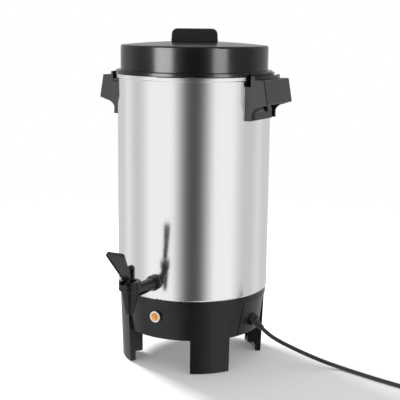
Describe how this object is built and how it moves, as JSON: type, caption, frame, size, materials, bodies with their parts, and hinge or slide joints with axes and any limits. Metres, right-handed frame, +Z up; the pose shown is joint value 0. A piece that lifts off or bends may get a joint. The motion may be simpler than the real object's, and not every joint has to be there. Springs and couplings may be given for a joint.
{
  "type": "coffee urn",
  "caption": "Tall cylindrical percolator coffee urn with a lift-off turn-lock lid, side handles, a sprung lever tap, a brewing basket on a pump tube, a legged base and a power cord.",
  "frame": {"origin": "on the urn's axis, at the level of the surface it stands on", "axes": "+Z up, -Y out through the tap, +X and -X out through the handles"},
  "size_m": [0.5675, 0.3249, 0.4803],
  "materials": {
    "aluminium_shell": "polished, softly streaked",
    "aluminium_inner": "plain drawn sheet",
    "black_base": "satin moulded black",
    "black_handle": "satin moulded black",
    "black_knob": "fine pebbled matte black",
    "black_lid": "gloss black enamel",
    "black_tap": "semi-gloss moulded black",
    "black_lever": "semi-gloss moulded black",
    "cord_jacket": "satin vinyl jacket",
    "dark_rubber": "matte",
    "silicone": "matte, slightly translucent white",
    "bright_bezel": "bright ring",
    "amber_lens": "clear amber",
    "zinc_steel": "zinc plated",
    "stainless_wire": "bright stainless",
    "heater_sheath": "heat-darkened sheath",
    "phenolic": "dark brown moulding",
    "brass_blades": "plain"
  },
  "bodies": {
    "urn": {"tank_vessel": "aluminium_shell", "base_housing": "black_base", "foot_pads": "dark_rubber", "bottom_cover": "zinc_steel", "bottom_screws": "zinc_steel", "clamp_stud": "zinc_steel", "clamp_strap": "zinc_steel", "clamp_nut": "zinc_steel", "main_heater": "heater_sheath", "keep_warm_heater": "heater_sheath", "thermostat": "phenolic", "thermal_fuse": "zinc_steel", "terminal_block": "phenolic", "lamp_bezel": "bright_bezel", "lamp_lens": "amber_lens", "lamp_holder": "phenolic", "lamp_clip": "zinc_steel", "handle_right": "black_handle", "handle_left": "black_handle", "handle_bolts": "zinc_steel", "handle_nuts": "zinc_steel", "handle_washers": "silicone", "tap_body": "black_tap", "tap_gasket_outer": "dark_rubber", "tap_collar": "black_tap", "tap_gasket_inner": "silicone", "tap_nut": "black_tap", "tap_bonnet": "black_tap", "tap_pin": "zinc_steel", "tap_spring_cap": "stainless_wire", "cord_relief": "dark_rubber", "power_cord": "cord_jacket", "cord_coil": "cord_jacket", "plug_body": "cord_jacket", "plug_blades": "brass_blades"},
    "lid_ring": {"lid_seal": "silicone"},
    "lid": {"lid_cover": "black_lid", "lid_knob": "black_knob", "knob_screws": "zinc_steel"},
    "pump": {"pump_tube": "aluminium_inner", "pump_foot": "aluminium_inner"},
    "pump_valve": {"pump_valve_disc": "aluminium_inner"},
    "basket": {"brew_basket": "aluminium_inner"},
    "spreader": {"basket_cover": "aluminium_inner"},
    "tap_handle": {"tap_lever": "black_lever"},
    "tap_valve": {"tap_stem": "stainless_wire", "tap_seat_cup": "silicone", "tap_spring": "stainless_wire"}
  },
  "joints": [
    {"name": "lid_lift", "type": "slide", "parent": "urn", "child": "lid_ring", "axis": [0, 0, 1], "range_m": [0, 0.08]},
    {"name": "lid_turn", "type": "hinge", "parent": "lid_ring", "child": "lid", "pos_m": [0, 0, 0.417], "axis": [0, 0, 1], "range_deg": [-12, 0]},
    {"name": "pump_lift", "type": "slide", "parent": "urn", "child": "pump", "axis": [0, 0, 1], "range_m": [0, 0.015]},
    {"name": "pump_valve_lift", "type": "slide", "parent": "pump", "child": "pump_valve", "axis": [0, 0, 1], "range_m": [0, 0.0018]},
    {"name": "basket_lift", "type": "slide", "parent": "pump", "child": "basket", "axis": [0, 0, 1], "range_m": [0, 0.01]},
    {"name": "spreader_lift", "type": "slide", "parent": "basket", "child": "spreader", "axis": [0, 0, 1], "range_m": [0, 0.008]},
    {"name": "tap_lever_tip", "type": "hinge", "parent": "urn", "child": "tap_handle", "pos_m": [0, -0.174, 0.144], "axis": [1, 0, 0], "range_deg": [0, 20], "stiffness_Nm_per_rad": 0.06, "springref_deg": -20.05},
    {"name": "tap_valve_lift", "type": "slide", "parent": "urn", "child": "tap_valve", "axis": [0, 0, 1], "range_m": [0, 0.003], "deforming": ["tap_spring"]}
  ],
  "couplings": [
    {"joint": "tap_valve_lift", "follows": "tap_lever_tip", "m_per_rad": 0.00859}
  ]
}
